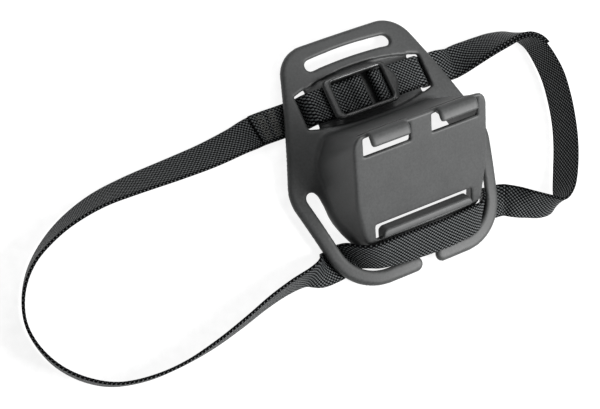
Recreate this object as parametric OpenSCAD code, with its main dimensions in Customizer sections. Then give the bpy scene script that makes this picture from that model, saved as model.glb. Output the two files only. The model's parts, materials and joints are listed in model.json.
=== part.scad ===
// Lamp mounting plate for a helmet: one curved black moulding with a hollow
// sloping block for a lamp, and one webbing strap closed by a ladder buckle.
// Units are millimetres. +X is right, +Y points to the end with the strap slot
// at the top of the plate, +Z points away from the helmet.
// The origin lies on the table, below the middle of the plate.

/* [Plate] */
// length of the plate from top edge to bottom edge
plate_length = 115; // [104:1:126]
// width of the plate between its two shoulders
shoulder_width = 109.2; // [100:1:118]
// thickness of the moulded plate
plate_thickness = 3.2; // [2.8:0.1:3.6]
// radius of the plate's hollow back, which follows the helmet
back_radius = 266.8; // [240:2:300]
// width of the two bent arms round the strap opening
arm_width = 7; // [6:0.1:7.4]
// gap between the ends of the two arms
mouth_width = 7.4; // [5:0.2:10]
// height of the long slot at the top of the plate
top_slot_height = 5.2; // [4.4:0.1:6]

/* [Lamp block] */
// slope of the face that carries the lamp
face_slope = 37.6; // [35:0.2:40]
// height of the face plane above the table, on the middle line of the plate
face_height = 44.2; // [42:0.2:47]
// width of the face at its top edge
face_width = 70; // [66:0.5:72]
// wall thickness of the hollow block
block_wall = 2.2; // [1.8:0.1:2.6]
// height of the lamp hooks above the face
hook_height = 4.8; // [4:0.1:5.6]
// height of the latch tongue above the face
latch_height = 3.5; // [2.6:0.1:4]

/* [Strap] */
// width of the webbing
strap_width = 15; // [14:0.1:15.3]
// thickness of the webbing
strap_thickness = 1.4; // [1.1:0.05:1.45]

/* [Buckle] */
// width of the buckle across the strap
buckle_width = 20; // [19.6:0.1:21]
// height of the buckle's two end bars above the bridge
buckle_top = 4.9; // [4.6:0.1:5.4]

/* [Hidden] */
// how high the straps below it lift the plate off the table
plate_lift = 1.6;
// clearance between a moving face and its seat
fit_gap = 0.05;
front_radius = back_radius + plate_thickness;
// flat strip of plate that the straps cross, inside the pocket
bridge_thickness = 1.4;
bridge_radius = back_radius + bridge_thickness;
half_length = plate_length / 2;
half_shoulder = shoulder_width / 2;
// corners of the right half of the plate, from the top, with their radii
plate_half = [[31.4, half_length], [half_shoulder, -7], [41.5, -half_length]];
plate_radii = [16, 20, 26];
// reach from the middle at which the back stands plate_lift above the table
rest_reach = 61.8;
shell_centre = plate_lift - sqrt(back_radius * back_radius - rest_reach * rest_reach);
// where the arms leave the plate
arm_seam = -9.4;
arm_inner_radius = 2.5;
arm_slot_x = 44;
// corners of the right half of the plate below the block
body_half = [[43.2, 0], [36.8, -29], [29.4, -41.8]];
body_radii = [1, 14, 8];
// long slot at the top
top_slot_y = 48.2;
top_slot_bow = 222;
top_slot_reach = 19.9;
// pocket that holds the buckle
pocket_half = 33.3;
pocket_slot = 5;
pocket_top = 41;
pocket_bottom = 15.3;
pocket_top_bow = 111;
pocket_bottom_bow = 118;
// block: base corners and face corners of the right half, from the top
base_level = 7;
base_half = [[29.5, 15], [38.6, 2], [38.6, -22], [29.5, -40.2]];
base_radii = [6, 16, 18, 8];
face_half = [[face_width / 2, 8.2], [face_width / 2 - 0.2, -27], [face_width / 2 - 4.4, -49.8]];
face_radii = [5.5, 18, 7];
// slots in the face behind the hooks
hook_slot_inner = 5.8;
hook_slot_outer = 30;
hook_slot_top = 5.8;
hook_slot_bottom = -3.2;
hook_middle = 17.9;
hook_width = 20.8;
hook_wall = 2.2;
hook_reach = 2.3;
// latch tongue in the face
latch_half = 24;
latch_side_gap = 2;
latch_root = -47.2;
latch_tip = -41.7;
latch_slot_top = -39.6;
latch_round = block_wall / 2;
// strap line through the pocket
strap_line = 28;
pocket_tilt = asin(strap_line / bridge_radius);
bridge_top = shell_centre + sqrt(bridge_radius * bridge_radius - strap_line * strap_line);
layer = strap_thickness + fit_gap;
floor_layer = strap_thickness / 2 + fit_gap;
strap_chamfer = 0.35;
smooth_steps = 5;
// straight pieces in the arc at a rounded corner
arc_steps = 10;
// buckle bars, measured along the strap from the middle of the plate
bar_outer = -21.3;
bar_inner = -16.6;
rung_a = -3.7;
rung_b = 5.6;
rung_length = 2.4;
rung_height = 1.8;
tab_start = 10.4;
tab_corner = 11;
tab_point = 16;
rail_width = 1.9;
rail_base = 0.5;
rail_top = 4.4;
end_bar_base = 2 * layer - 0.4;
tab_base = 2 * layer - 0.15;
rung_base = layer + 0.16;
// half circle of strap round a rung, measured from the rung's rounded end
turn_radius = rung_height / 2 + layer - strap_thickness / 2 + 0.08;

// side view of the lowest strap layer from the table up through a pocket slot
climb = [[28.4, 8.35], [30, 6.8], [31, 4.3], [33.4, 1.7], [38, 0.8], [44, 0.75]];
// where the folded layers begin, on either side of the rungs
fold_a = -13;
fold_b = 12;
fold_gap = 0.15;

// Route points: x, y, z, tilt of the strap, and the way its raised edge faces.
// Where only a tilt is given, the raised edge faces the inside of the loop.
left_loop = [
    [-53, 27.9, 1.3, 5], [-58, 27.4, 2.1, 10], [-66, 26.3, 4.1, 26], [-82, 24.6, 5, 34],
    [-99, 23.9, 5.7, 41], [-120, 23.4, 6.5, 50], [-136.7, 22.1, 7.2, 60], [-152, 18.3, 7.9, 71],
    [-164.2, 12.8, 8.2, 82], [-174.3, 5.5, 8.3, 93], [-181.4, -4, 8.3, 100],
    [-184.9, -15, 8.3, 103], [-183.8, -26, 8.3, 102], [-178.8, -37, 8.3, 98],
    [-170.1, -46.3, 8.3, 94], [-158.9, -52.8, 8.3, 91], [-144.5, -55.7, 8.3, 88],
    [-129, -55.6, 8.2, 86], [-112, -53, 8.1, 80], [-96, -49, 8, 76], [-82, -44.9, 7.9, 73],
    [-70, -42.3, 7.8, 70], [-60, -41.2, 7.4, 64], [-54.5, -41, 5.8, 46], [-50, -41.1, 2.7, 16]];
front_run = [
    [-50, -41.1, 2.7, 16, 92], [-47, -41, 1, 1, 92], [-43, -40.8, 0.78, 0, 95],
    [-40.2, -40.2, 0.9, 0, 103], [-37.4, -39.6, 2.6, 6, 112], [-35.6, -39.8, 5.6, 24, 110],
    [-33.4, -41.4, 8.7, 44, 106], [-30, -43.2, 11.3, 50, 100], [-25.5, -44.4, 12.6, 46, 94],
    [-19, -44.9, 12.9, 40, 92], [-8, -45.5, 12.8, 34, 90], [8.3, -46, 12.7, 31, 90],
    [18, -45.6, 12.6, 31, 90], [25, -45, 12.3, 35, 88], [29.8, -43.8, 11.6, 42, 82],
    [33.2, -41.5, 8.8, 38, 75], [35.4, -39.8, 5.6, 22, 70], [37.3, -39.6, 2.6, 6, 68],
    [40.2, -40.2, 0.9, 0, 77], [43, -40.8, 0.78, 0, 85], [47, -41.2, 0.95, 1, 88],
    [50, -42, 1.7, 7, 90]];
right_loop = [
    [50, -42, 1.7, 7], [54, -44.7, 4, 26], [59, -48, 6, 42], [65, -51.3, 6.9, 52],
    [70.5, -53, 7.5, 66], [75.2, -51.7, 8, 88], [79.5, -46.5, 8.1, 105], [84.3, -38.3, 8.1, 111],
    [89.2, -28.2, 8.1, 110], [93, -17.5, 8.1, 107], [95.6, -6, 8.2, 106], [96.8, 6, 8.2, 104],
    [94.9, 19, 8.2, 97], [91, 25, 8.2, 86], [84.5, 28.1, 8, 70], [75.5, 28.6, 7.3, 55],
    [67.5, 28.2, 6.3, 45], [60, 27.6, 4.7, 32], [54, 27.2, 2.6, 14], [50, 27, 1.2, 4]];

plate_colour = [0.17, 0.17, 0.17];
strap_colour = [0.08, 0.08, 0.09];
buckle_colour = [0.2, 0.2, 0.2];
thread_colour = [0.75, 0.75, 0.73];

// ---- flat shapes with rounded corners ----

function unit(v) = v / norm(v);
function leftOf(v) = [-v[1], v[0]];
function reversed(list) = [for (i = [len(list) - 1:-1:0]) list[i]];
function bothSides(half) = concat([for (p = half) [-p[0], p[1]]], reversed(half));
function bothRadii(radii) = concat(radii, reversed(radii));
function sideNormal(a, b) = unit(leftOf(b - a));

// middle of the arc that rounds corner b, and the two side normals there
function cornerData(a, b, c, radius) =
    let (n = sideNormal(a, b), m = sideNormal(b, c))
    [b + radius * (n + m) / (1 + n * m), n, m];

// points along the arc that rounds one corner, from the first side to the second
function arcPoints(data, radius) =
    let (turn = acos(min(1, data[1] * data[2])), start = atan2(-data[1][1], -data[1][0]))
    [for (k = [0:arc_steps]) data[0] + radius * [cos(start + turn * k / arc_steps),
        sin(start + turn * k / arc_steps)]];

// convex outline with arcs at its corners, drawn in by an inset
module roundedShape(half, radii, inset = 0) {
    points = bothSides(half);
    arcs = bothRadii(radii);
    count = len(points);
    polygon([for (i = [0:count - 1])
        let (data = cornerData(points[(i + count - 1) % count], points[i],
            points[(i + 1) % count], arcs[i]))
        for (p = arcPoints(data, max(arcs[i] - inset, 0.2))) p]);
}

module plateShape(inset = 0) {
    roundedShape(plate_half, plate_radii, inset);
}

module bodyShape() {
    roundedShape(body_half, body_radii);
}

module topSlotShape() {
    bow_centre = top_slot_y - top_slot_bow;
    end_y = bow_centre + sqrt(top_slot_bow * top_slot_bow - top_slot_reach * top_slot_reach);
    intersection() {
        translate([0, bow_centre]) difference() {
            circle(r = top_slot_bow + top_slot_height / 2, $fn = 360);
            circle(r = top_slot_bow - top_slot_height / 2, $fn = 360);
        }
        translate([-top_slot_reach, top_slot_y - 10]) square([2 * top_slot_reach, 20]);
    }
    for (side = [-1, 1]) {
        translate([side * top_slot_reach, end_y]) circle(d = top_slot_height, $fn = 48);
    }
}

// lens-shaped pocket between two arcs, cut off square at both ends
module pocketShape() {
    intersection() {
        translate([0, pocket_top - pocket_top_bow]) circle(r = pocket_top_bow, $fn = 240);
        translate([0, pocket_bottom + pocket_bottom_bow]) circle(r = pocket_bottom_bow, $fn = 240);
        translate([-pocket_half, 0]) square([2 * pocket_half, 60]);
    }
}

module pocketSlots() {
    inner = pocket_half - pocket_slot;
    difference() {
        pocketShape();
        translate([-inner, 0]) square([2 * inner, 60]);
    }
}

// upper part of the plate with the tongue-shaped body that carries the block
module upperShape() {
    difference() {
        union() {
            intersection() {
                plateShape();
                translate([-80, arm_seam]) square([160, 90]);
            }
            bodyShape();
        }
        topSlotShape();
        pocketSlots();
        roundedShape(base_half, base_radii, block_wall);
        for (side = [-1, 1]) {
            translate([side * arm_slot_x, arm_seam]) circle(r = arm_inner_radius, $fn = 48);
        }
    }
}

// bent arm on the right, from the seam down to its rounded end at the mouth
module armShape() {
    tip_radius = arm_width / 2;
    tip_x = mouth_width / 2 + tip_radius;
    difference() {
        plateShape();
        plateShape(arm_width);
        translate([-80, arm_seam]) square([160, 90]);
        translate([tip_x - 100, -80]) square([100, 160]);
    }
    translate([tip_x, tip_radius - half_length]) circle(r = tip_radius, $fn = 48);
}

// ---- curved moulding ----

module ball(radius) {
    translate([0, 0, shell_centre]) rotate([90, 0, 0]) sphere(r = radius, $fn = 240);
}

// round cap cut from a hollow ball, between an inner and an outer radius
module shellCap(inner, outer) {
    translate([0, 0, shell_centre]) rotate_extrude($fn = 180) intersection() {
        difference() {
            circle(r = outer, $fn = 720);
            circle(r = inner, $fn = 720);
        }
        translate([0, inner - 20]) square([80, 60]);
    }
}

// cuts a flat shape out of the curved sheet
module curvedSheet() {
    intersection() {
        translate([0, 0, -1]) linear_extrude(height = 30) children();
        shellCap(back_radius, front_radius);
    }
}

module base_plate() {
    color(plate_colour) difference() {
        curvedSheet() upperShape();
        intersection() {
            linear_extrude(height = 30) pocketShape();
            shellCap(bridge_radius, bridge_radius + 12);
        }
    }
}

module right_arm() {
    color(plate_colour) curvedSheet() armShape();
}

module left_arm() {
    color(plate_colour) mirror([1, 0, 0]) curvedSheet() armShape();
}

// ---- lamp block ----

// moves its children onto the sloping face: y runs up the slope, z stands off it
module onFace() {
    translate([0, 0, face_height]) rotate([face_slope, 0, 0]) children();
}

// a profile drawn in slope and height, drawn out across the face
module acrossFace(width) {
    onFace() translate([-width / 2, 0, 0]) rotate([90, 0, 90]) linear_extrude(height = width) children();
}

module blockSolid(inset) {
    hull() {
        translate([0, 0, base_level]) linear_extrude(height = 0.5) roundedShape(base_half, base_radii, inset);
        onFace() translate([0, 0, -inset - 0.5]) linear_extrude(height = 0.5)
            roundedShape(face_half, face_radii, inset);
    }
}

module mount_block() {
    slot_width = hook_slot_outer - hook_slot_inner;
    color(plate_colour) difference() {
        blockSolid(0);
        blockSolid(block_wall);
        ball(front_radius);
        for (side = [-1, 1]) {
            onFace() translate([side * (hook_slot_inner + slot_width / 2), 0, 0])
                translate([-slot_width / 2, hook_slot_bottom, -5])
                cube([slot_width, hook_slot_top - hook_slot_bottom, 10]);
        }
        onFace() translate([-latch_half - latch_side_gap, latch_root, -block_wall - 1])
            cube([2 * (latch_half + latch_side_gap), latch_slot_top - latch_root, 10]);
        acrossFace(2 * latch_half + 0.4) translate([latch_root, -latch_round])
            circle(r = latch_round + fit_gap, $fn = 48);
    }
}

// hook rising from the top rim of the face and reaching back over the slot
module hookSolid() {
    low = hook_slot_top + 0.1;
    high = low + hook_wall;
    onFace() translate([-hook_width / 2, 0, 0]) rotate([90, 0, 90]) linear_extrude(height = hook_width) {
        translate([low, 0]) square([hook_wall, hook_height - 1.2]);
        translate([low - hook_reach + 1, hook_height - hook_wall]) square([hook_reach, hook_wall]);
        translate([low - hook_reach + 1, hook_height - hook_wall / 2]) circle(d = hook_wall, $fn = 48);
        translate([high - 1.2, hook_height - 1.2]) circle(r = 1.2, $fn = 48);
        translate([low, hook_height - 1.4]) square([1, 1.4]);
    }
}

module left_hook() {
    color(plate_colour) translate([-hook_middle, 0, 0]) hookSolid();
}

module right_hook() {
    color(plate_colour) translate([hook_middle, 0, 0]) hookSolid();
}

// springy tongue: a wedge that stands proud at its tip and turns about its root
module latch_tongue() {
    color(plate_colour) acrossFace(2 * latch_half) {
        translate([latch_root, -latch_round]) circle(r = latch_round, $fn = 48);
        polygon([[latch_root, -block_wall], [latch_tip, -block_wall],
            [latch_tip, latch_height - 0.6], [latch_tip - 0.6, latch_height],
            [latch_tip - 1.4, latch_height], [latch_root, 0]]);
    }
}

// ---- buckle ----

// moves its children onto the bridge: z stands off the bridge's outer face
module onBridge() {
    translate([0, strap_line, bridge_top]) rotate([-pocket_tilt, 0, 0]) children();
}

// a profile drawn along the strap, drawn out across the buckle
module acrossBuckle(width) {
    translate([0, width / 2, 0]) rotate([90, 0, 0]) linear_extrude(height = width) children();
}

module rung(middle) {
    reach = (rung_length - rung_height) / 2;
    acrossBuckle(buckle_width - 2 * rail_width + 0.2) translate([middle, rung_base + rung_height / 2]) {
        square([2 * reach, rung_height], center = true);
        for (side = [-1, 1]) {
            translate([side * reach, 0]) circle(d = rung_height, $fn = 48);
        }
    }
}

module buckle() {
    half = buckle_width / 2;
    color(buckle_colour) onBridge() {
        for (side = [-1, 1]) {
            translate([0, side * (half - rail_width / 2), 0]) acrossBuckle(rail_width)
                polygon([[bar_outer + 0.8, rail_base + 1.4], [bar_inner, rail_base], [9, rail_base],
                    [tab_corner, tab_base], [tab_corner, rail_top], [bar_outer + 0.8, rail_top]]);
        }
        acrossBuckle(buckle_width) polygon([[bar_outer, end_bar_base], [bar_inner, end_bar_base],
            [bar_inner, buckle_top - 0.5], [bar_inner - 0.8, buckle_top],
            [bar_outer + 1.4, buckle_top], [bar_outer, buckle_top - 1.3]]);
        rung(rung_a);
        rung(rung_b);
        translate([0, 0, tab_base]) linear_extrude(height = buckle_top - tab_base)
            polygon([[tab_start, -half], [tab_corner, -half], [tab_point, -2], [tab_point, 2],
                [tab_corner, half], [tab_start, half]]);
    }
}

// ---- webbing ----

// point at part t of the way from b to c on the smooth curve through a, b, c, d
function curvePoint(a, b, c, d, t) =
    b + (c - a) * t / 2 + (2 * a - 5 * b + 4 * c - d) * t * t / 2
    + (3 * b - a - 3 * c + d) * t * t * t / 2;

function smoothRoute(route) =
    let (last = len(route) - 1)
    concat([for (i = [0:last - 1]) for (k = [0:smooth_steps - 1])
        curvePoint(route[max(i - 1, 0)], route[i], route[i + 1], route[min(i + 2, last)],
            k / smooth_steps)], [route[last]]);

function place(p) = [p[0], p[1], p[2]];
function travelAt(line, i) =
    unit(place(line[min(i + 1, len(line) - 1)]) - place(line[max(i - 1, 0)]));

// the way the raised edge faces, square to the travel
function acrossAt(p, travel) =
    let (
        level = len(p) > 4 ? [cos(p[4]), sin(p[4]), 0] : unit([-travel[1], travel[0], 0]),
        raw = level * cos(p[3]) + [0, 0, sin(p[3])])
    unit(raw - (raw * travel) * travel);

// rectangle with broken corners, going round the strap
function bandSection(wide, thick) =
    let (w = wide / 2, t = thick / 2, c = min(strap_chamfer, thick / 3))
    [[w, c - t], [w, t - c], [w - c, t], [c - w, t], [-w, t - c], [-w, c - t], [c - w, -t], [w - c, -t]];

// flat band swept along a route, set off sideways and outwards from it
module band(route, wide, thick, sideways = 0, outwards = 0) {
    line = smoothRoute(route);
    section = bandSection(wide, thick);
    sides = len(section);
    rings = len(line);
    points = [for (i = [0:rings - 1])
        let (t = travelAt(line, i), w = acrossAt(line[i], t), n = cross(t, w))
        for (s = section) place(line[i]) + w * (s[0] + sideways) + n * (s[1] + outwards)];
    walls = [for (i = [0:rings - 2]) for (k = [0:sides - 1])
        let (a = i * sides + k, b = i * sides + (k + 1) % sides)
        for (face = [[a, a + sides, b + sides], [a, b + sides, b]]) face];
    start = [for (k = [0:sides - 1]) k];
    finish = [for (k = [sides - 1:-1:0]) (rings - 1) * sides + k];
    polyhedron(points = points, faces = concat([start], walls, [finish]), convexity = 6);
}

// strap route in the pocket from side view points: along the strap, and height off the bridge
function overBridge(points) = [for (p = points)
    [p[0], strap_line, bridge_top + p[1] - p[0] * p[0] / (2 * bridge_radius), pocket_tilt, -90]];

// points on the half circle of strap round a rung's rounded end
function roundRung(x, angles) = [for (a = angles)
    [x + turn_radius * cos(a), rung_base + rung_height / 2 + turn_radius * sin(a)]];

// route along the table and up through a pocket slot, always running to the left
function slotRoute(side, points) = [for (p = points)
    [side * p[0], strap_line, p[1], p[1] > 6 ? pocket_tilt : 0, -90]];

sewn_route = concat(overBridge([[fold_a, layer / 2 + fit_gap / 2], [-19, 0.75], [-24.5, 0.78]]),
    slotRoute(-1, climb), [[-53, 27.9, 1.3, 5, -90]]);
load_route = concat([[50, 27, 1.2, 4, -90]], slotRoute(1, reversed(climb)),
    overBridge([[24.5, 0.78], [19, 0.75], [fold_b, 0.75]]));

module strap_sewn_end() {
    color(strap_colour) band(sewn_route, strap_width, layer + strap_thickness, 0, layer / 2);
}

module strap_turn_a() {
    round_x = rung_a + (rung_length - rung_height) / 2;
    color(strap_colour) band(overBridge(concat(
        [[fold_a + fold_gap, 0.75 + layer], [-12.2, 0.76 + layer], [-9.2, 2.7], [-6, 4]],
        roundRung(round_x, [90, 45, 0, -45, -90]),
        [[-8, 0.76], [-12.2, 0.75], [fold_a + fold_gap, 0.75]])), strap_width, strap_thickness);
}

module strap_turn_b() {
    round_x = rung_b - (rung_length - rung_height) / 2;
    color(strap_colour) band(overBridge(concat(
        [[fold_b - fold_gap, 0.75], [11.2, 0.75], [8.5, 0.76]],
        roundRung(round_x, [-90, -135, -180, -225, -270]),
        [[7, 4.05], [8.1, 3.25], [9, 2.5], [10.4, 0.75 + layer], [fold_b - fold_gap, 0.75 + layer]])),
        strap_width, strap_thickness);
}

// rows of thread through the overlap, closed by a bar at each end
module stitching() {
    rise = layer + strap_thickness / 2 + 0.2;
    row = [[-43.5, strap_line, 0.75, 0, -90], [-47, strap_line, 0.8, 1, -90], [-51.5, 27.9, 1.15, 4, -90]];
    color(thread_colour) {
        for (offset = [-5, 0, 5]) {
            band(row, 0.8, 0.4, offset, rise);
        }
        band([row[0], row[0] - [1, 0, 0, 0, 0]], 12, 0.4, 0, rise);
        band([row[2] + [1, 0, -0.06, 0, 0], row[2]], 12, 0.4, 0, rise);
    }
}

module strap_left_loop() {
    color(strap_colour) band(left_loop, strap_width, strap_thickness);
}

module strap_front_run() {
    color(strap_colour) band(front_run, strap_width, strap_thickness);
}

module strap_right_loop() {
    color(strap_colour) band(right_loop, strap_width, strap_thickness);
}

module strap_load_run() {
    color(strap_colour) band(load_route, strap_width, strap_thickness);
}

module strap_return_run() {
    color(strap_colour) band(load_route, strap_width, strap_thickness, 0, layer);
}

// loose end, lying on the outside of the loaded strap as far as the bend
tail_points = 8;
tail_route = [for (i = [len(right_loop) - 1:-1:len(right_loop) - tail_points]) right_loop[i]];

module strap_tail() {
    color(strap_colour) band(reversed(tail_route), strap_width, strap_thickness, 0, layer + 0.3);
}

// ---- assembly ----

base_plate();
left_arm();
right_arm();
mount_block();
left_hook();
right_hook();
latch_tongue();
buckle();
strap_sewn_end();
strap_turn_a();
stitching();
strap_left_loop();
strap_front_run();
strap_right_loop();
strap_load_run();
strap_turn_b();
strap_return_run();
strap_tail();
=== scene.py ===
import json
import math

import bpy
import numpy as np
from mathutils import Matrix, Vector

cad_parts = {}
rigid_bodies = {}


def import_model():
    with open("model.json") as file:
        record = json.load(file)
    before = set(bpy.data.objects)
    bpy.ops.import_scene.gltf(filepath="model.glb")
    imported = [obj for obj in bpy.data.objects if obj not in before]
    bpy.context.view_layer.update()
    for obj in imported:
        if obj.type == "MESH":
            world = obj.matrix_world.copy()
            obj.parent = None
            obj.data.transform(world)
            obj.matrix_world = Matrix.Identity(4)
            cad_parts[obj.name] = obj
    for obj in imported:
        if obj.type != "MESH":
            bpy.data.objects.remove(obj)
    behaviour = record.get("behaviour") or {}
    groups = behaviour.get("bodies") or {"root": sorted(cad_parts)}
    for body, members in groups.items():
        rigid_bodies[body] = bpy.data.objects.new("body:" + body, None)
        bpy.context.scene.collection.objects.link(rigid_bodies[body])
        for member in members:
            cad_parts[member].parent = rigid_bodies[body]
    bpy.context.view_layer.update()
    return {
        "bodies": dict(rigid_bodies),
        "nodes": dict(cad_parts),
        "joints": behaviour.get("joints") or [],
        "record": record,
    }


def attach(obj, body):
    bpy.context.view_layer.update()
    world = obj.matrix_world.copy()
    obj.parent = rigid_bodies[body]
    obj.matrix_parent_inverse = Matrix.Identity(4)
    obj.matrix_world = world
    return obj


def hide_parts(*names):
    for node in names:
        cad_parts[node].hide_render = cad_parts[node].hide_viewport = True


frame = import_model()

print("scene: camera")

# Seen from in front of the plate, a little from its left, with the long loop running to the left.
view = dict(
    lens=99.0,  # mm, on a 36 mm wide frame
    place=(-0.345, -0.0371, 0.6771),
    aim=(-0.0475, -0.0097, 0.0),
    roll=-21.8,  # degrees, turns the picture
)

cameraData = bpy.data.cameras.new("camera")
cameraData.lens = view["lens"]
cameraData.sensor_width = 36.0
cameraData.clip_start = 0.01
camera = bpy.data.objects.new("camera", cameraData)
bpy.context.scene.collection.objects.link(camera)
back = (Vector(view["place"]) - Vector(view["aim"])).normalized()
upright = (Vector((0, 1, 0)) - back * back.y).normalized()
sideways = upright.cross(back)
turn = math.radians(view["roll"])
right = sideways * math.cos(turn) + upright * math.sin(turn)
up = upright * math.cos(turn) - sideways * math.sin(turn)
camera.matrix_world = Matrix.Translation(view["place"]) @ Matrix((right, up, back)).transposed().to_4x4()
bpy.context.scene.camera = camera


# ---- materials ----


def linear(code):
    # sRGB hex to linear colour
    parts = [int(code[i : i + 2], 16) / 255 for i in (1, 3, 5)]
    return tuple(c / 12.92 if c <= 0.04045 else ((c + 0.055) / 1.055) ** 2.4 for c in parts) + (1.0,)


class Tree:
    # a material's node tree, with one short call to add a node
    def __init__(self, name):
        self.material = bpy.data.materials.new(name)
        self.material.use_nodes = True
        self.nodes = self.material.node_tree.nodes
        self.links = self.material.node_tree.links
        self.shader = self.nodes["Principled BSDF"]

    def add(self, kind, values=None, **settings):
        node = self.nodes.new("ShaderNode" + kind)
        for key, value in settings.items():
            setattr(node, key, value)
        for key, value in (values or {}).items():
            if isinstance(value, bpy.types.NodeSocket):
                self.links.new(value, node.inputs[key])
            else:
                node.inputs[key].default_value = value
        return node

    def math(self, operation, a, b=0.0, c=0.0, clamp=False):
        return self.add("Math", {0: a, 1: b, 2: c}, operation=operation, use_clamp=clamp).outputs[0]

    def ramp(self, factor, low, high, lowColour, highColour):
        node = self.add("ValToRGB", {"Fac": factor})
        node.color_ramp.elements[0].position = low
        node.color_ramp.elements[0].color = lowColour
        node.color_ramp.elements[1].position = high
        node.color_ramp.elements[1].color = highColour
        return node.outputs["Color"]

    def noise(self, place, scale, detail):
        return self.add("TexNoise", {"Vector": place, "Scale": scale, "Detail": detail}).outputs["Fac"]

    def spread(self, value, fromLow, fromHigh, low, high):
        # carries one range onto another
        ends = {"Value": value, "From Min": fromLow, "From Max": fromHigh, "To Min": low, "To Max": high}
        return self.add("MapRange", ends).outputs["Result"]

    def bump(self, height, strength, depth):
        ends = {"Height": height, "Strength": strength, "Distance": depth}
        return self.add("Bump", ends).outputs["Normal"]

    def set(self, **values):
        for key, value in values.items():
            socket = self.shader.inputs[key.replace("_", " ")]
            if isinstance(value, bpy.types.NodeSocket):
                self.links.new(value, socket)
            else:
                socket.default_value = value


mm = 1000.0  # texture coordinates are metres, so a scale of 1000 counts millimetres

mouldingLook = dict(
    colour="#353636",
    wornColour="#414242",
    roughness=(0.46, 0.6),
    grain=0.55,  # mm between the pits of the tool's texture
    grainDepth=0.00005,
)


def mouldedPlastic(name, look):
    # spark-eroded plastic: a soft grey sheen that breaks up into fine grain, a little lighter where rubbed
    tree = Tree(name)
    place = tree.add("TexCoord").outputs["Object"]
    fineness = mm / look["grain"] * 0.5
    grain = tree.noise(place, fineness, 2.0)
    patches = tree.noise(place, mm / 14, 4.0)
    mottle = tree.math("MULTIPLY_ADD", grain, 0.6, tree.math("MULTIPLY", patches, 0.4))
    colour = tree.ramp(mottle, 0.38, 0.66, linear(look["colour"]), linear(look["wornColour"]))
    low, high = look["roughness"]
    rough = tree.spread(grain, 0.0, 1.0, low, high)
    bump = tree.bump(grain, 0.6, look["grainDepth"])
    tree.set(Base_Color=colour, Roughness=rough, IOR=1.52, Normal=bump)
    return tree.material


webbingLook = dict(
    colour="#050506",
    # painted highlight: the lighter grey that the yarn crowns are painted
    crownHighlightColour="#4e5152",
    pitch=1.7,  # mm between rows of the weave
    run=1.9,  # mm from one crossing to the next along the strap
    depth=0.00032,
    width=15.0,
)


def wovenWebbing(name, look):
    # black polyester webbing: rows of plump yarn crossings that catch the light, with tighter selvedges; the
    # colour paints the crowns lighter as a painted highlight and the hollows near black as painted shade
    tree = Tree(name)
    uv = tree.add("UVMap", uv_map="strap").outputs["UV"]
    parts = tree.add("SeparateXYZ", {"Vector": uv})
    across, along = parts.outputs["X"], parts.outputs["Y"]
    wobble = tree.noise(uv, 0.35, 2.0)
    row = tree.math("MULTIPLY", across, math.pi / look["pitch"])
    step = tree.math("MULTIPLY_ADD", wobble, 0.5, tree.math("MULTIPLY", along, math.pi / look["run"]))
    # two sets of yarn cross, and whichever stands higher is seen
    overs = tree.math("MULTIPLY", tree.math("SINE", row), tree.math("SINE", step))
    unders = tree.math("MULTIPLY", tree.math("COSINE", row), tree.math("COSINE", step))
    crowns = tree.math("MAXIMUM", tree.math("ABSOLUTE", overs), tree.math("ABSOLUTE", unders))
    slant = tree.math("ADD", tree.math("MULTIPLY", row, 2.0), tree.math("MULTIPLY", step, 2.0))
    twill = tree.math("SINE", slant)
    height = tree.math("MULTIPLY_ADD", twill, 0.18, crowns)
    fibres = tree.noise(uv, 5.0, 3.0)
    height = tree.math("MULTIPLY_ADD", fibres, 0.35, height)
    edge = tree.math("ABSOLUTE", across)
    rim = look["width"] / 2
    selvedge = tree.spread(edge, rim - 0.9, rim - 0.4, 1.0, 0.8)
    height = tree.math("MULTIPLY", height, selvedge)
    # painted highlight on the raised yarn crowns and painted shade in the hollows between them, set by the
    # weave's height
    shade = tree.ramp(height, 0.8, 1.3, linear(look["colour"]), linear(look["crownHighlightColour"]))
    # the hollows between yarns shade one another, so only the crowns shine
    shine = tree.spread(height, 0.7, 1.3, 0.02, 0.5)
    rough = tree.spread(height, 0.0, 1.0, 0.75, 0.45)
    bump = tree.bump(height, 0.9, look["depth"])
    tree.set(Base_Color=shade, Roughness=rough, IOR=1.54, Normal=bump, Specular_IOR_Level=shine)
    return tree.material


threadLook = dict(colour="#74746f", shadow="#262625")


def sewingThread(name, look):
    # twisted polyester thread: pale, with a fine spiral
    tree = Tree(name)
    place = tree.add("TexCoord").outputs["Object"]
    turns = {"Vector": place, "Scale": mm / 1.2, "Distortion": 1.0}
    spiral = tree.add("TexWave", turns, bands_direction="DIAGONAL").outputs["Fac"]
    colour = tree.ramp(spiral, 0.2, 0.9, linear(look["shadow"]), linear(look["colour"]))
    bump = tree.bump(spiral, 0.5, 0.00005)
    tree.set(Base_Color=colour, Roughness=0.7, IOR=1.54, Normal=bump)
    return tree.material


# acetal: darker and slicker than the plate, so its edges carry thin highlights
buckleLook = dict(
    colour="#1c1d1d",
    wornColour="#2a2b2b",
    roughness=(0.26, 0.38),
    grain=0.5,
    grainDepth=0.00001,
)

plasticMaterial = mouldedPlastic("spark eroded nylon moulding", mouldingLook)
buckleMaterial = mouldedPlastic("glossy acetal moulding", buckleLook)
webbingMaterial = wovenWebbing("woven polyester webbing", webbingLook)
threadMaterial = sewingThread("twisted polyester thread", threadLook)


# ---- webbing ----

print("scene: webbing")

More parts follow.
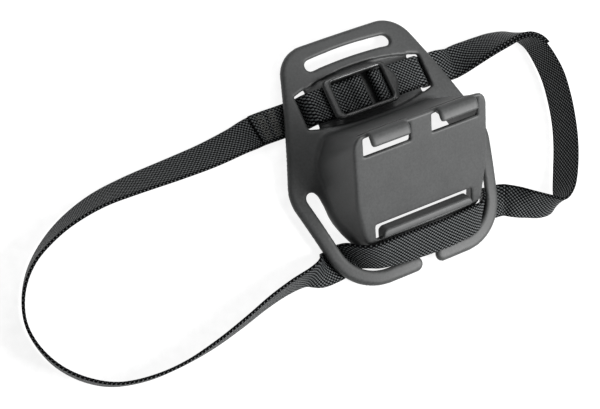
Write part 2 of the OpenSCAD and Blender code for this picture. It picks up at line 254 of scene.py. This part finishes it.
# Route points in metres: place, tilt in degrees, and the way the raised edge faces.
# Where no way is given, the raised edge faces the inside of the loop.
leftLoop = [
    (-0.053, 0.0279, 0.0013, 5), (-0.058, 0.0274, 0.0021, 10), (-0.066, 0.0263, 0.0041, 26),
    (-0.082, 0.0246, 0.005, 34), (-0.099, 0.0239, 0.0057, 41), (-0.12, 0.0234, 0.0065, 50),
    (-0.1367, 0.0221, 0.0072, 60), (-0.152, 0.0183, 0.0079, 71), (-0.1642, 0.0128, 0.0082, 82),
    (-0.1743, 0.0055, 0.0083, 93), (-0.1814, -0.004, 0.0083, 100), (-0.1849, -0.015, 0.0083, 103),
    (-0.1838, -0.026, 0.0083, 102), (-0.1788, -0.037, 0.0083, 98), (-0.1701, -0.0463, 0.0083, 94),
    (-0.1589, -0.0528, 0.0083, 91), (-0.1445, -0.0557, 0.0083, 88), (-0.129, -0.0556, 0.0082, 86),
    (-0.112, -0.053, 0.0081, 80), (-0.096, -0.049, 0.008, 76), (-0.082, -0.0449, 0.0079, 73),
    (-0.07, -0.0423, 0.0078, 70), (-0.06, -0.0412, 0.0074, 64), (-0.0545, -0.041, 0.0058, 46),
    (-0.05, -0.0411, 0.0027, 16),
]
frontRun = [
    (-0.05, -0.0411, 0.0027, 16, 92), (-0.047, -0.041, 0.001, 1, 92), (-0.043, -0.0408, 0.00078, 0, 95),
    (-0.0402, -0.0402, 0.0009, 0, 103),
    (-0.0374, -0.0396, 0.0026, 6, 112), (-0.0356, -0.0398, 0.0056, 24, 110),
    (-0.0334, -0.0414, 0.0087, 44, 106),
    (-0.03, -0.0432, 0.0113, 50, 100), (-0.0255, -0.0444, 0.0126, 46, 94),
    (-0.019, -0.0449, 0.0129, 40, 92), (-0.008, -0.0455, 0.0128, 34, 90), (0.0083, -0.046, 0.0127, 31, 90),
    (0.018, -0.0456, 0.0126, 31, 90), (0.025, -0.045, 0.0123, 35, 88), (0.0298, -0.0438, 0.0116, 42, 82),
    (0.0332, -0.0415, 0.0088, 38, 75), (0.0354, -0.0398, 0.0056, 22, 70), (0.0373, -0.0396, 0.0026, 6, 68),
    (0.0402, -0.0402, 0.0009, 0, 77), (0.043, -0.0408, 0.00078, 0, 85), (0.047, -0.0412, 0.00095, 1, 88),
    (0.05, -0.042, 0.0017, 7, 90),
]
rightLoop = [
    (0.05, -0.042, 0.0017, 7), (0.054, -0.0447, 0.004, 26), (0.059, -0.048, 0.006, 42),
    (0.065, -0.0513, 0.0069, 52), (0.0705, -0.053, 0.0075, 66), (0.0752, -0.0517, 0.008, 88),
    (0.0795, -0.0465, 0.0081, 105), (0.0843, -0.0383, 0.0081, 111), (0.0892, -0.0282, 0.0081, 110),
    (0.093, -0.0175, 0.0081, 107), (0.0956, -0.006, 0.0082, 106), (0.0968, 0.006, 0.0082, 104),
    (0.0949, 0.019, 0.0082, 97), (0.091, 0.025, 0.0082, 86), (0.0845, 0.0281, 0.008, 70),
    (0.0755, 0.0286, 0.0073, 55), (0.0675, 0.0282, 0.0063, 45), (0.06, 0.0276, 0.0047, 32),
    (0.054, 0.0272, 0.0026, 14), (0.05, 0.027, 0.0012, 4),
]

strap = dict(
    width=0.015,
    thickness=0.0014,
    layer=0.00145,
    line=0.028,  # where the strap crosses the plate, along Y
    bridgeTop=0.00879,
    bridgeRadius=0.2682,
    tilt=5.99,  # degrees, the bridge's slope there
    floorLayer=0.00075,
    rungHeight=0.0018,
    rungBase=0.00161,
    turnRadius=0.00173,
    roundA=-0.0034,
    roundB=0.0053,
    foldA=-0.013,
    foldB=0.012,
)

# side view of the lowest layer from the bridge down through a pocket slot to the table
climb = [
    (0.0284, 0.00835), (0.03, 0.0068), (0.031, 0.0043), (0.0334, 0.0017), (0.038, 0.0008), (0.044, 0.00075),
]


def overBridge(points):
    # side view points, along the strap and height off the bridge, set on the curved bridge
    return [
        (x, strap["line"], strap["bridgeTop"] + h - x**2 / (2 * strap["bridgeRadius"]), strap["tilt"], -90)
        for x, h in points
    ]


def slotRoute(side, points):
    return [(side * x, strap["line"], z, strap["tilt"] if z > 0.006 else 0, -90) for x, z in points]


def roundRung(x, angles):
    # half circle of strap round the rounded end of a rung
    middle = strap["rungBase"] + strap["rungHeight"] / 2
    radius = strap["turnRadius"]
    return [
        (x + radius * math.cos(math.radians(a)), middle + radius * math.sin(math.radians(a))) for a in angles
    ]


lower = strap["floorLayer"]
upper = lower + strap["layer"]
sewnRun = overBridge([(strap["foldA"], lower), (-0.019, lower), (-0.0245, 0.00078)]) + slotRoute(-1, climb)
loadRun = slotRoute(1, climb[::-1]) + overBridge([(0.0245, 0.00078), (0.019, lower), (strap["foldB"], lower)])
turnA = overBridge(
    [(strap["foldA"], upper), (-0.0122, upper + 0.00001), (-0.0092, 0.0027), (-0.006, 0.004)]
    + roundRung(strap["roundA"], (90, 45, 0, -45, -90))
    + [(-0.008, 0.00076), (strap["foldA"], lower)]
)
turnB = overBridge(
    [(strap["foldB"], lower), (0.0085, 0.00076)]
    + roundRung(strap["roundB"], (-90, -135, -180, -225, -270))
    + [(0.007, 0.00405), (0.0081, 0.00325), (0.009, 0.0025), (0.0104, upper), (strap["foldB"], upper)]
)


def unit(v):
    return v / np.maximum(np.linalg.norm(v, axis=-1, keepdims=True), 1e-12)


def curve(points, steps):
    # smooth curve through the points: b + (c-a)t/2 + (2a-5b+4c-d)t²/2 + (3b-a-3c+d)t³/2
    before = np.vstack([points[:1], points[:-1]])[:-1]
    after = np.vstack([points[1:], points[-1:]])
    a, b, c, d = before, points[:-1], points[1:], np.vstack([after[1:], after[-1:]])[: len(points) - 1]
    t = (np.arange(steps) / steps)[None, :, None]
    a, b, c, d = (v[:, None, :] for v in (a, b, c, d))
    line = b + (c - a) * t / 2 + (2 * a - 5 * b + 4 * c - d) * t**2 / 2 + (3 * b - a - 3 * c + d) * t**3 / 2
    return np.vstack([line.reshape(-1, points.shape[1]), points[-1:]])


def ribbonLine(route, steps=10):
    # rings along a route: place, travel, way across (towards the raised edge) and outward normal
    place = np.array([p[:3] for p in route], float)
    tilt = np.radians([p[3] for p in route])
    travel = unit(np.vstack([place[1:], place[-1:]]) - np.vstack([place[:1], place[:-1]]))
    level = unit(np.c_[-travel[:, 1], travel[:, 0], np.zeros(len(route))])
    for i, p in enumerate(route):
        if len(p) > 4:
            level[i] = (math.cos(math.radians(p[4])), math.sin(math.radians(p[4])), 0)
    across = level * np.cos(tilt)[:, None] + np.array([0, 0, 1.0]) * np.sin(tilt)[:, None]
    both = curve(np.hstack([place, across]), steps)
    place, across = both[:, :3], both[:, 3:]
    travel = unit(np.gradient(place, axis=0))
    across = unit(across - travel * np.sum(across * travel, axis=1, keepdims=True))
    return place, travel, across, np.cross(travel, across)


def linkMesh(name, vertices, faces, material):
    mesh = bpy.data.meshes.new(name)
    mesh.from_pydata(vertices.tolist(), [], faces)
    mesh.materials.append(material)
    mesh.polygons.foreach_set("use_smooth", np.full(len(mesh.polygons), True))
    mesh.update()
    piece = bpy.data.objects.new(name, mesh)
    bpy.context.scene.collection.objects.link(piece)
    return piece


def ribbon(name, rings, first=0, last=None, outwards=0.0, start=0.0):
    # flat band: a rounded rectangle carried along the rings; UV counts millimetres across and along
    place, travel, across, normal = (r[first:last] for r in rings)
    edge = strap["thickness"] / 2
    bulge = edge * 0.8
    flat = np.linspace(-1, 1, 17) * (strap["width"] / 2 - bulge)
    bend = np.radians(np.linspace(-90, 90, 7))[1:-1]
    u = np.r_[flat, flat[-1] + bulge * np.cos(bend), flat[::-1], flat[0] - bulge * np.cos(bend)]
    v = np.r_[np.full(17, -edge), edge * np.sin(bend), np.full(17, edge), -edge * np.sin(bend)]
    count, sides = len(place), len(u)
    points = (
        place[:, None]
        + across[:, None] * u[None, :, None]
        + normal[:, None] * (v[None, :] + np.reshape(outwards, (-1, 1)))[:, :, None]
    ).reshape(-1, 3)
    i, k = np.meshgrid(np.arange(count - 1), np.arange(sides), indexing="ij")
    n = (k + 1) % sides
    low, high = i * sides, (i + 1) * sides
    walls = np.stack([low + k, low + n, high + n, high + k], -1).reshape(-1, 4)
    caps = [list(range(sides))[::-1], [(count - 1) * sides + j for j in range(sides)]]
    piece = linkMesh(name, points, walls.tolist() + caps, webbingMaterial)
    length = np.r_[0, np.cumsum(np.linalg.norm(np.diff(place, axis=0), axis=1))] * 1000 + start
    uv = np.zeros((len(points), 2))
    uv[:, 0] = np.tile((u + v * 0.6) * 1000, count)
    uv[:, 1] = np.repeat(length, sides)
    layer = piece.data.uv_layers.new(name="strap")
    corner = np.empty(len(piece.data.loops), int)
    piece.data.loops.foreach_get("vertex_index", corner)
    layer.data.foreach_set("uv", uv[corner].ravel())
    return piece


steps = 10  # rings between two route points
wholeRoute = sewnRun + leftLoop + frontRun[1:] + rightLoop[1:] + loadRun
rings = ribbonLine(wholeRoute, steps)
counts = [0, len(sewnRun), len(leftLoop) - 1, len(frontRun) - 1, len(rightLoop) - 1]
marks = np.cumsum(counts) * steps
stretches = dict(
    strap_left_loop=(marks[1], marks[2] + 1),
    strap_front_run=(marks[2], marks[3] + 1),
    strap_right_loop=(marks[3], marks[4] + 1),
)
travelled = np.r_[0, np.cumsum(np.linalg.norm(np.diff(rings[0], axis=0), axis=1))]
straps = {}
for node, (first, last) in stretches.items():
    straps[node] = ribbon(node + "_webbing", rings, first, last, start=travelled[first] * 1000)
    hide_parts(node)

# The sewn end is two layers; its cut end lies on the loop just outside the plate.
cutEnd = marks[1] + int(0.6 * steps)
sewnLower = ribbon("sewn_end_lower", rings, 0, marks[1] + 1)
sewnUpper = ribbon("sewn_end_upper", rings, 0, cutEnd, outwards=strap["layer"], start=0.6)
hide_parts("strap_sewn_end")
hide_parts("strap_sewn_end")
load = ribbon("load_run_webbing", rings, marks[4], None, start=travelled[marks[4]] * 1000)
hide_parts("strap_load_run")

# The loose end comes back out over the load run and lies on the outside of the loop as far as the bend.
tailStart = marks[4] - 7 * steps
tailRings = len(rings[0]) - tailStart
lift = strap["layer"] * 1.02 + 0.0003 * np.clip(np.linspace(2.4, -1, tailRings), 0, 1)
tail = ribbon("tail_webbing", rings, tailStart, None, outwards=lift)
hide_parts("strap_tail", "strap_return_run")

turnPieces = {}
for node, route in (("strap_turn_a", turnA), ("strap_turn_b", turnB)):
    turnPieces[node] = ribbon(node + "_webbing", ribbonLine(route, 8))
    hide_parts(node)
    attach(turnPieces[node], "buckle")
for piece in list(straps.values()) + [sewnLower, sewnUpper, load, tail]:
    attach(piece, "plate")


def routeLength(first, last):
    return float(travelled[min(last, len(travelled)) - 1] - travelled[first])


for node in ("strap_left_loop", "strap_right_loop"):
    first, last = stretches[node]
lengths = {node: round(routeLength(*span), 4) for node, span in stretches.items()}
print("scene: lengths", lengths, round(routeLength(tailStart, len(rings[0])), 4))


# ---- stitching ----

print("scene: stitching")

stitch = dict(
    wide=0.0005,
    long=0.0021,
    high=0.0003,
    spacing=0.0011,  # between the stitches of one bar
    reach=0.0055,  # from the middle of the strap to the outermost stitch
    bars=(-0.0445, -0.0462, -0.0508, -0.0525),  # where the rows cross the strap, along X
    seed=7,
)


def stitches(name, spots):
    # loops of thread: each a half-ellipse ridge over the strap, given by ring, offset across, and turn
    bends, around = 9, 6
    allPoints, allFaces = [], []
    arc = np.linspace(0, np.pi, bends)
    ring = np.linspace(0, 2 * np.pi, around + 1)[:-1]
    onTop = strap["layer"] + strap["thickness"] / 2 - 0.0001
    for number, (spot, offset, turned) in enumerate(spots):
        place, travel, across, normal = (r[spot] for r in rings)
        way = travel * math.cos(turned) + across * math.sin(turned)
        side = np.cross(normal, way)
        top = place + across * offset + normal * onTop
        ahead = np.outer(-np.cos(arc), way) * stitch["long"] / 2
        middle = top + ahead + np.outer(np.sin(arc), normal) * stitch["high"]
        tube = (
            middle[:, None]
            + side * (np.cos(ring) * stitch["wide"] / 2)[None, :, None]
            + normal * (np.sin(ring) * stitch["wide"] / 2)[None, :, None]
        ).reshape(-1, 3)
        base = number * bends * around
        i, k = np.meshgrid(np.arange(bends - 1), np.arange(around), indexing="ij")
        n = (k + 1) % around
        low, high = base + i * around, base + (i + 1) * around
        faces = np.stack([low + k, low + n, high + n, high + k], -1).reshape(-1, 4)
        end = base + (bends - 1) * around
        caps = [[base + j for j in range(around)][::-1], [end + j for j in range(around)]]
        allPoints.append(tube)
        allFaces += faces.tolist() + caps
    return linkMesh(name, np.vstack(allPoints), allFaces, threadMaterial)


draw = np.random.default_rng(stitch["seed"])
spots = []
ringX = rings[0][: marks[1] + 3 * steps, 0]
for x in stitch["bars"]:
    ring = int(np.argmin(np.abs(ringX - x)))
    for offset in np.arange(-stitch["reach"], stitch["reach"] + 0.0001, stitch["spacing"]):
        spots.append((ring, offset + draw.normal(0, 0.0001), draw.normal(0, 0.12)))
stitching = stitches("stitching_thread", spots)
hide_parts("stitching")
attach(stitching, "plate")


# ---- moulded plastic ----

print("scene: moulding")

# All lengths in this part are millimetres; the finished surfaces are scaled to metres.
moulding = dict(
    halfLength=57.5,
    halfShoulder=54.6,
    thickness=3.2,
    backRadius=266.8,
    lift=1.6,
    restReach=61.8,
    armWidth=7.0,
    mouth=7.4,
    wall=2.2,
    slope=37.6,
    faceHeight=44.2,
    baseLevel=7.0,
    edgeRound=1.1,
    rootFillet=2.6,
    step=0.72,
)
shellCentre = moulding["lift"] - math.sqrt(moulding["backRadius"] ** 2 - moulding["restReach"] ** 2)


def outline(half, radii, inset=0.0, arc=12):
    # closed outline with an arc at each corner; the left half mirrors the right
    half = [np.array(p, float) for p in half]
    points = [np.array([-p[0], p[1]]) for p in half] + half[::-1]
    radii = list(radii) + list(radii)[::-1]
    result = []
    for i, corner in enumerate(points):
        a, c = points[i - 1], points[(i + 1) % len(points)]
        n = unit(np.array([a[1] - corner[1], corner[0] - a[0]]))
        m = unit(np.array([corner[1] - c[1], c[0] - corner[0]]))
        middle = corner + radii[i] * (n + m) / (1 + n @ m)
        start = math.atan2(-n[1], -n[0])
        turned = math.acos(min(1.0, n @ m))
        t = start + turned * np.linspace(0, 1, arc)
        result.append(middle + max(radii[i] - inset, 0.2) * np.c_[np.cos(t), np.sin(t)])
    return np.vstack(result)


def outlineDistance(points, x, y):
    # signed distance from each place to a closed outline, negative inside
    best = np.full(x.shape, 1e9)
    inside = np.zeros(x.shape, bool)
    for (ax, ay), (bx, by) in zip(points, np.roll(points, -1, axis=0)):
        ex, ey = bx - ax, by - ay
        t = np.clip(((x - ax) * ex + (y - ay) * ey) / (ex * ex + ey * ey + 1e-12), 0, 1)
        best = np.minimum(best, (x - ax - t * ex) ** 2 + (y - ay - t * ey) ** 2)
        crosses = (ay > y) != (by > y)
        inside ^= crosses & (x < ax + (y - ay) * ex / (ey if abs(ey) > 1e-12 else 1e-12))
    return np.sqrt(best) * np.where(inside, -1, 1)


def smoothMax(a, b, k):
    # larger of two fields, rounded over a width k
    h = np.maximum(k - np.abs(a - b), 0) / k
    return np.maximum(a, b) + h * h * k / 4


def smoothMin(a, b, k):
    return -smoothMax(-a, -b, k)


def boxField(x, y, z, low, high, rounded=0.4):
    # rounded box between two corners
    q = [np.abs(v - (l + h) / 2) - (h - l) / 2 + rounded for v, l, h in zip((x, y, z), low, high)]
    outside = np.sqrt(sum(np.maximum(v, 0) ** 2 for v in q))
    return outside + np.minimum(np.maximum(np.maximum(q[0], q[1]), q[2]), 0) - rounded


def surfaceNet(field, low, step):
    # closed surface where the field is zero: one vertex per crossed cell, at the mean of its edge crossings
    shape = np.array(field.shape)
    cells = shape - 1
    total = np.zeros((*cells, 3), np.float32)
    count = np.zeros(cells, np.float32)
    quads = []
    index = np.arange(cells.prod()).reshape(cells)
    for axis in range(3):
        lowSlice = [slice(None)] * 3
        highSlice = [slice(None)] * 3
        lowSlice[axis] = slice(0, -1)
        highSlice[axis] = slice(1, None)
        a, b = field[tuple(lowSlice)], field[tuple(highSlice)]
        crossed = (a < 0) != (b < 0)
        at = np.argwhere(crossed)
        t = (a[crossed] / (a[crossed] - b[crossed]))[:, None]
        spot = at.astype(np.float32)
        spot[:, axis] += t[:, 0]
        others = [o for o in range(3) if o != axis]
        around = []
        for db, dc in ((0, 0), (1, 0), (1, 1), (0, 1)):
            cell = at.copy()
            cell[:, others[0]] -= db
            cell[:, others[1]] -= dc
            good = np.all((cell >= 0) & (cell < cells), axis=1)
            chosen = tuple(cell[good].T)
            np.add.at(total, chosen, spot[good])
            np.add.at(count, chosen, 1)
            numbers = np.ravel_multi_index(tuple(np.clip(cell, 0, cells - 1).T), tuple(cells))
            around.append(np.where(good, numbers, -1))
        around = np.stack(around, 1)
        flip = (a[crossed] < 0) ^ (axis == 1)
        around[flip] = around[flip][:, ::-1]
        quads.append(around[np.all(around >= 0, axis=1)])
    used = count > 0
    number = np.full(cells.prod(), -1)
    number[index[used]] = np.arange(used.sum())
    vertices = total[used] / count[used][:, None] * step + np.array(low)
    return vertices, number[np.vstack(quads)]


def gridOver(low, high, step):
    axes = [np.arange(l, h + step, step, dtype=np.float32) for l, h in zip(low, high)]
    return np.meshgrid(*axes, indexing="ij", sparse=True)


# Corners of the right half of each outline, from the top, and the radius at each corner.
plateHalf = [(31.4, moulding["halfLength"]), (moulding["halfShoulder"], -7), (41.5, -moulding["halfLength"])]
plateRadii = (16, 20, 26)
bodyHalf = [(43.2, 0), (36.8, -29), (29.4, -41.8)]
bodyRadii = (1, 14, 8)
baseHalf = [(29.5, 15), (38.6, 2), (38.6, -22), (29.5, -40.2)]
baseRadii = (6, 16, 18, 8)
# the face's corners are measured up the slope
faceHalf = [(35, 8.2), (34.8, -27), (30.6, -49.8)]
faceRadii = (5, 16, 6)

slope = math.radians(moulding["slope"])
slopeCos, slopeSin = math.cos(slope), math.sin(slope)
armSlot = dict(seam=-9.4, middle=44.0, radius=2.5)
topSlot = dict(y=48.2, bow=222.0, reach=19.9, half=2.6)
pocket = dict(top=41.0, topBow=111.0, bottom=15.3, bottomBow=118.0, half=33.3, slot=5.0, floor=1.4)
hook = dict(middle=17.9, half=10.6, low=2.6, high=8.25, foot=-2.0, centre=(1.2, -5.4), outer=10.3, inner=8.2)
tongueSize = dict(half=24.0, root=-47.2, tip=-41.7, corner=2.6, crown=8.7, step=0.45)


def onFace(y, z):
    # distance up the sloping face and height off it
    raised = z - moulding["faceHeight"]
    return y * slopeCos + raised * slopeSin, raised * slopeCos - y * slopeSin


def flatPlate(x, y):
    # plan of the plate: its outline less the space between the arms, the mouth, the slots
    plate = outlineDistance(outline(plateHalf, plateRadii), x, y)
    inner = outlineDistance(outline(plateHalf, plateRadii, moulding["armWidth"]), x, y)
    body = outlineDistance(outline(bodyHalf, bodyRadii), x, y)
    opening = np.maximum(np.maximum(inner, -body), y - armSlot["seam"])
    for side in (-1, 1):
        end = np.hypot(x - side * armSlot["middle"], y - armSlot["seam"]) - armSlot["radius"]
        opening = np.minimum(opening, end)
    tipRadius = moulding["armWidth"] / 2
    tipX = moulding["mouth"] / 2 + tipRadius
    mouthGap = np.maximum(np.abs(x) - tipX, y + 45)
    flat = np.maximum(np.maximum(plate, -opening), -mouthGap)
    for side in (-1, 1):
        tip = np.hypot(x - side * tipX, y + moulding["halfLength"] - tipRadius) - tipRadius
        flat = np.minimum(flat, tip)
    bow = np.hypot(x, y - (topSlot["y"] - topSlot["bow"])) - topSlot["bow"]
    along = np.abs(x) - topSlot["reach"]
    slot = np.sqrt(np.maximum(along, 0) ** 2 + bow**2) - topSlot["half"]
    return np.maximum(flat, -slot)


def pocketPlan(x, y):
    # lens between two arcs, cut off square at both ends
    upperArc = np.hypot(x, y - (pocket["top"] - pocket["topBow"])) - pocket["topBow"]
    lowerArc = np.hypot(x, y - (pocket["bottom"] + pocket["bottomBow"])) - pocket["bottomBow"]
    return np.maximum.reduce([upperArc, lowerArc, np.abs(x) - pocket["half"]])


def hookField(x, up, out):
    # a bent tab whose outer skin curves from the face's top edge over to a rounded lip
    upCentre, outCentre = hook["centre"]
    reach = np.hypot(up - upCentre, out - outCentre)
    tab = smoothMax(reach - hook["outer"], hook["inner"] - reach, 1.0)
    ends = np.maximum(np.maximum(hook["low"] - up, hook["foot"] - out), up - hook["high"])
    tab = smoothMax(tab, ends, 1.2)
    return smoothMax(tab, np.abs(x - hook["middle"]) - hook["half"], 2.2)


def mouldingField(x, y, z):
    flatX, flatY = x[:, :, 0] + 0 * y[:, :, 0], y[:, :, 0] + 0 * x[:, :, 0]
    reach = np.sqrt(x**2 + y**2 + (z - shellCentre) ** 2)
    recessPlan = pocketPlan(flatX, flatY)
    slotPlan = np.maximum(recessPlan, pocket["half"] - pocket["slot"] - np.abs(flatX))
    flat = np.maximum(flatPlate(flatX, flatY), -slotPlan)
    # curved sheet with rounded edges, and the pocket sunk into it
    thick = moulding["thickness"] / 2
    skin = np.abs(reach - moulding["backRadius"] - thick) - thick
    sheet = smoothMax(flat[:, :, None], skin, moulding["edgeRound"] * 2)
    recess = smoothMax(recessPlan[:, :, None], moulding["backRadius"] + pocket["floor"] - reach, 0.6)
    sheet = smoothMax(sheet, -recess, 0.8)
    # block: walls that lean from the base outline to the face outline, under a sloping face
    base = outlineDistance(outline(baseHalf, baseRadii), flatX, flatY)
    faceCorners = [(a, b * slopeCos) for a, b in faceHalf]
    face = outlineDistance(outline(faceCorners, faceRadii), flatX, flatY)
    planeZ = moulding["faceHeight"] + y * slopeSin / slopeCos
    baseLevel = moulding["baseLevel"]
    rise = np.clip((z - baseLevel) / np.maximum(planeZ - baseLevel, 1), 0, 1)
    walls = base[:, :, None] * (1 - rise) + face[:, :, None] * rise
    above = (z - planeZ) * slopeCos
    block = smoothMax(smoothMax(walls, above, 1.2), 4 - z, 0.5)
    whole = smoothMin(sheet, block, moulding["rootFillet"])
    hollow = smoothMax(walls + moulding["wall"], above + moulding["wall"], 2.0)
    whole = smoothMax(whole, -hollow, 0.8)
    # slots behind the hooks, the gap round the tongue, and the hooks
    up, out = onFace(y, z)
    mirrored = np.abs(x) + 0 * up
    hookSlot = boxField(mirrored, up, out, (5.8, -3.2, -5), (30, 5.8, 8), 0.5)
    whole = smoothMax(whole, -hookSlot, 0.7)
    tongueGap = boxField(mirrored, up, out, (-26, tongueSize["root"], -5), (26, -39.6, 8), 0.6)
    whole = smoothMax(whole, -tongueGap, 0.5)
    return smoothMin(whole, hookField(mirrored, up, out), 0.9)


def mouldedPiece(name, fieldOf, low, high, step, material):
    # meshes a field given in millimetres and scales it to metres
    x, y, z = gridOver(low, high, step)
    field = fieldOf(x, y, z).astype(np.float32)
    vertices, quads = surfaceNet(field, low, step)
    return linkMesh(name, vertices * 0.001, quads.tolist(), material)


plateLow, plateHigh = (-56, -59.5, -1), (56, 59.5, 54.5)
plateFront = mouldedPiece(
    "plate_moulding", mouldingField, plateLow, plateHigh, moulding["step"], plasticMaterial
)
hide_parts("base_plate", "left_arm", "right_arm", "mount_block", "left_hook", "right_hook")
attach(plateFront, "plate")


def tongueField(x, y, z):
    # a wedge with a crowned top and rounded corners, and a round root to bend about
    up, out = onFace(y, z)
    x = x + 0 * up
    half, root, corner = tongueSize["half"], tongueSize["root"], tongueSize["corner"]
    slab = boxField(x, up, out, (-half, root - 2, -2.2), (half, tongueSize["tip"], 8), 0.3)
    besideCorner = np.maximum(np.abs(x) - half + corner, 0)
    aboveCorner = np.maximum(up - tongueSize["tip"] + corner, 0)
    slab = np.maximum(slab, np.hypot(besideCorner, aboveCorner) - corner)
    top = np.hypot(up + 45.2, out + 5.2) - tongueSize["crown"]
    top = np.maximum(top, (out - (up - root) * 1.5) * 0.55)
    hinge = np.maximum(np.hypot(up - root, out + 1.1) - 1.1, np.abs(x) - half)
    wedge = np.maximum(smoothMax(slab, top, 0.7), root - 0.1 - up)
    return np.minimum(wedge, hinge)


tongueLow, tongueHigh = (-25, -40, 11), (25, -29.5, 23)
tongue = mouldedPiece(
    "tongue_moulding", tongueField, tongueLow, tongueHigh, tongueSize["step"], plasticMaterial
)
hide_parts("latch_tongue")
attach(tongue, "latch")


# ---- buckle ----

print("scene: buckle")

buckleSize = dict(
    halfWidth=10.1,
    rail=2.0,
    top=5.1,
    frame=(-4.0, 17.3, 3.4),  # middle, half length and corner radius
    opening=(-3.6, 13.4, 2.0),
    rungs=(-3.7, 5.6),
    rungRadius=0.9,
    rungHeight=2.5,
    step=0.3,
)


def roundedPlan(x, y, middle, halfLength, halfWidth, radius):
    # rounded rectangle seen from above
    across = np.abs(x - middle) - halfLength + radius
    beside = y - halfWidth + radius
    outside = np.hypot(np.maximum(across, 0), np.maximum(beside, 0))
    return outside + np.minimum(np.maximum(across, beside), 0) - radius


def buckleField(x, y, z):
    # in the buckle's own directions: x along the strap, y across, z off the bridge
    half, rail = buckleSize["halfWidth"], buckleSize["rail"]
    y = np.abs(y) + 0 * x + 0 * z
    x, z = x + 0 * y, z + 0 * y
    # a rounded frame that comes to a blunt point, with a rounded opening
    middle, length, radius = buckleSize["frame"]
    frame = roundedPlan(x, y, middle, length, half, radius)
    point = smoothMax((x - 16) * 0.86 + (y - 1.5) * 0.51, x - 15.6, 1.0)
    tab = smoothMax(np.maximum(np.maximum(9.0 - x, y - half), x - 17), point, 1.0)
    middle, length, radius = buckleSize["opening"]
    opening = roundedPlan(x, y, middle, length, half - rail, radius)
    ring = np.maximum(np.minimum(frame, tab), -opening)
    top = buckleSize["top"] - 0.02 * np.abs(x)
    upper = smoothMax(ring, np.maximum(z - top, 2.65 - z), 1.5)
    rails = boxField(x, y, z, (-15.5, half - rail - 0.05, 0.7), (8.5, half - 0.2, 4.4), 0.7)
    whole = smoothMin(upper, rails, 1.0)
    bars = []
    for rung in buckleSize["rungs"]:
        bar = np.hypot(np.maximum(np.abs(x - rung) - 0.3, 0), z - buckleSize["rungHeight"])
        bars.append(smoothMax(bar - buckleSize["rungRadius"], y - half + 1.0, 0.4))
    return smoothMin(whole, np.minimum(*bars), 0.5)


buckleLow, buckleHigh = (-22.5, -11.2, -0.5), (17.5, 11.2, 6)
buckle = mouldedPiece(
    "buckle_moulding", buckleField, buckleLow, buckleHigh, buckleSize["step"], buckleMaterial
)
lean = Matrix.Rotation(math.radians(-strap["tilt"]), 4, "X")
buckle.data.transform(Matrix.Translation((0, strap["line"], strap["bridgeTop"])) @ lean)
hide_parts("buckle")
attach(buckle, "buckle")


# ---- floor and light ----

print("scene: light")

floorMesh = bpy.data.meshes.new("floor")
floorMesh.from_pydata([(-4, -4, 0), (4, -4, 0), (4, 4, 0), (-4, 4, 0)], [], [(0, 1, 2, 3)])
floor = bpy.data.objects.new("floor", floorMesh)
bpy.context.scene.collection.objects.link(floor)
floor.location.z = -0.0004
# lit paper: near white with a faint fibre, and bright enough to show no hard shadow
paper = Tree("matt white paper sweep")
speck = paper.noise(paper.add("TexCoord").outputs["Object"], 220.0, 3.0)
paperColour = paper.ramp(speck, 0.3, 0.7, linear("#f7f7f7"), linear("#fcfcfc"))
paper.set(Base_Color=linear("#8c8c8c"), Roughness=0.95, Emission_Color=paperColour, Emission_Strength=0.92)
floorMesh.materials.append(paper.material)


def softLight(name, place, power, side=0.5):
    # square lamp of the given side, aimed at the origin
    data = bpy.data.lights.new(name, "AREA")
    data.shape = "SQUARE"
    data.size = side
    data.energy = power
    lamp = bpy.data.objects.new(name, data)
    bpy.context.scene.collection.objects.link(lamp)
    lamp.location = place
    lamp.rotation_euler = (-Vector(place)).to_track_quat("-Z", "Y").to_euler()


softLight("right light", (0.55, -0.5, 0.75), 17.0)
softLight("top light", (0.35, 0.6, 0.8), 3.5)
world = bpy.data.worlds.new("studio")
bpy.context.scene.world = world
world.use_nodes = True
world.node_tree.nodes["Background"].inputs["Color"].default_value = linear("#f4f5f6")
world.node_tree.nodes["Background"].inputs["Strength"].default_value = 0.22
bpy.context.scene.view_settings.view_transform = "Standard"
